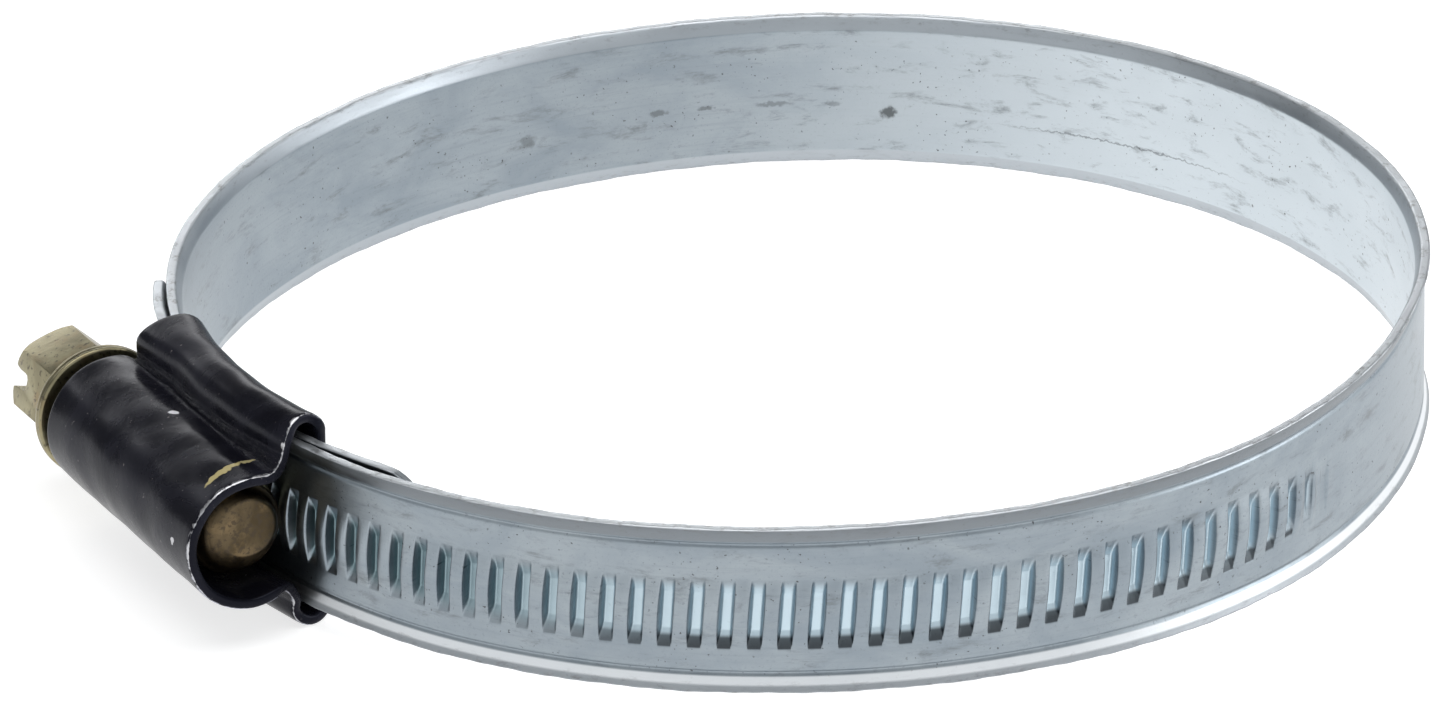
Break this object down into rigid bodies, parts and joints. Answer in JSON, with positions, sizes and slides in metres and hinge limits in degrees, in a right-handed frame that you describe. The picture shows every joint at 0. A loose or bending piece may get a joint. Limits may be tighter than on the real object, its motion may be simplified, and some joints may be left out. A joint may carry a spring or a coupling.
{
  "type": "hose clamp",
  "caption": "Worm-drive hose clamp: a thin steel band with pressed thread grooves and rolled edges, drawn through a pressed sheet housing by a slotted hexagon screw.",
  "frame": {"origin": "on the hose's axis, at the middle of the band's width", "axes": "+Z along the hose, +X towards the housing, +Y along the screw from its head to its tip"},
  "size_m": [0.0978, 0.0903, 0.0156],
  "materials": {
    "zinc_steel": "bright zinc-plated strip, satin",
    "black_enamel": "glossy black stoved enamel",
    "yellow_zinc": "yellow-passivated zinc plating"
  },
  "bodies": {
    "housing": {"housing": "black_enamel", "band_fixed_end": "zinc_steel"},
    "screw": {"worm_screw": "yellow_zinc"},
    "strap": {"band_toothed_strap": "zinc_steel"},
    "link_01": {"band_link_01": "zinc_steel"},
    "link_02": {"band_link_02": "zinc_steel"},
    "link_03": {"band_link_03": "zinc_steel"},
    "link_04": {"band_link_04": "zinc_steel"},
    "link_05": {"band_link_05": "zinc_steel"},
    "link_06": {"band_link_06": "zinc_steel"},
    "link_07": {"band_link_07": "zinc_steel"},
    "link_08": {"band_link_08": "zinc_steel"},
    "link_09": {"band_link_09": "zinc_steel"},
    "link_10": {"band_link_10": "zinc_steel"},
    "link_11": {"band_link_11": "zinc_steel"},
    "link_12": {"band_link_12": "zinc_steel"}
  },
  "joints": [
    {"name": "screw_turn", "type": "hinge", "parent": "housing", "child": "screw", "pos_m": [0.0487, 0, 0], "axis": [0, 1, 0], "range_deg": [0, 5580]},
    {"name": "strap_feed", "type": "hinge", "parent": "housing", "child": "strap", "pos_m": [0, 0, 0], "axis": [0, 0, 1], "range_deg": [-39.18, 0]},
    {"name": "band_bend_01", "type": "hinge", "parent": "housing", "child": "link_01", "pos_m": [0.0423, -0.01213, 0], "axis": [0, 0, 1], "range_deg": [-4.61, 0]},
    {"name": "band_bend_02", "type": "hinge", "parent": "link_01", "child": "link_02", "pos_m": [0.0341, -0.02761, 0], "axis": [0, 0, 1], "range_deg": [-4.16, 0]},
    {"name": "band_bend_03", "type": "hinge", "parent": "link_02", "child": "link_03", "pos_m": [0.02047, -0.0385, 0], "axis": [0, 0, 1], "range_deg": [-3.52, 0]},
    {"name": "band_bend_04", "type": "hinge", "parent": "link_03", "child": "link_04", "pos_m": [0.00378, -0.04316, 0], "axis": [0, 0, 1], "range_deg": [-2.9, 0]},
    {"name": "band_bend_05", "type": "hinge", "parent": "link_04", "child": "link_05", "pos_m": [-0.01335, -0.04109, 0], "axis": [0, 0, 1], "range_deg": [-2.42, 0]},
    {"name": "band_bend_06", "type": "hinge", "parent": "link_05", "child": "link_06", "pos_m": [-0.028, -0.0329, 0], "axis": [0, 0, 1], "range_deg": [-2.15, 0]},
    {"name": "band_bend_07", "type": "hinge", "parent": "link_06", "child": "link_07", "pos_m": [-0.03842, -0.01975, 0], "axis": [0, 0, 1], "range_deg": [-2.15, 0]},
    {"name": "band_bend_08", "type": "hinge", "parent": "link_07", "child": "link_08", "pos_m": [-0.04305, -0.00361, 0], "axis": [0, 0, 1], "range_deg": [-2.4, 0]},
    {"name": "band_bend_09", "type": "hinge", "parent": "link_08", "child": "link_09", "pos_m": [-0.04118, 0.01306, 0], "axis": [0, 0, 1], "range_deg": [-2.87, 0]},
    {"name": "band_bend_10", "type": "hinge", "parent": "link_09", "child": "link_10", "pos_m": [-0.03309, 0.02777, 0], "axis": [0, 0, 1], "range_deg": [-3.48, 0]},
    {"name": "band_bend_11", "type": "hinge", "parent": "link_10", "child": "link_11", "pos_m": [-0.02015, 0.03899, 0], "axis": [0, 0, 1], "range_deg": [-4.1, 0]},
    {"name": "band_bend_12", "type": "hinge", "parent": "link_11", "child": "link_12", "pos_m": [-0.00364, 0.04461, 0], "axis": [0, 0, 1], "range_deg": [-4.55, 0]}
  ],
  "couplings": [
    {"joint": "strap_feed", "follows": "screw_turn", "ratio": -0.007019},
    {"joint": "band_bend_01", "follows": "screw_turn", "ratio": -0.00082503},
    {"joint": "band_bend_02", "follows": "screw_turn", "ratio": -0.00074303},
    {"joint": "band_bend_03", "follows": "screw_turn", "ratio": -0.00062901},
    {"joint": "band_bend_04", "follows": "screw_turn", "ratio": -0.00051739},
    {"joint": "band_bend_05", "follows": "screw_turn", "ratio": -0.00043092},
    {"joint": "band_bend_06", "follows": "screw_turn", "ratio": -0.00038378},
    {"joint": "band_bend_07", "follows": "screw_turn", "ratio": -0.00038269},
    {"joint": "band_bend_08", "follows": "screw_turn", "ratio": -0.00042764},
    {"joint": "band_bend_09", "follows": "screw_turn", "ratio": -0.00051177},
    {"joint": "band_bend_10", "follows": "screw_turn", "ratio": -0.00062101},
    {"joint": "band_bend_11", "follows": "screw_turn", "ratio": -0.00073288},
    {"joint": "band_bend_12", "follows": "screw_turn", "ratio": -0.00081381}
  ]
}
